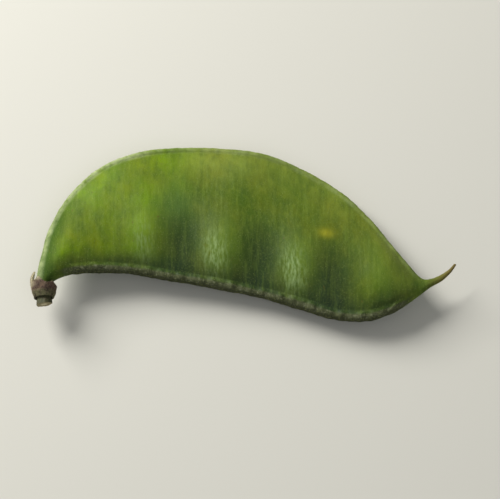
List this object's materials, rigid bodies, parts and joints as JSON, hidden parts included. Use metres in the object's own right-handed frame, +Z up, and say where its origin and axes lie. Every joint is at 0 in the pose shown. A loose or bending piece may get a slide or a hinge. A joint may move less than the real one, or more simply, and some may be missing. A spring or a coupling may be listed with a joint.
{
  "type": "hyacinth bean pod",
  "caption": "Fresh green bean pod on its side: broad flat body swollen over its seeds, corded seam, thin back rim, hooked beak, dry calyx and short cut stalk.",
  "frame": {"origin": "on the surface that the pod lies on, under the middle of its box", "axes": "+X along the pod from the stalk end to the beak, +Y from the seam to the back edge, +Z up"},
  "size_m": [0.0926, 0.0474, 0.0101],
  "materials": {
    "pod_skin": "fresh green pod skin, satin, with a fine down, pale over the seeds and dark between them",
    "dry_calyx": "withered purple-brown calyx, matt and wrinkled",
    "cut_stalk": "green-brown fibrous stalk with a dry cut end"
  },
  "bodies": {
    "root": {"pod": "pod_skin", "calyx": "dry_calyx", "stalk": "cut_stalk"}
  },
  "joints": []
}
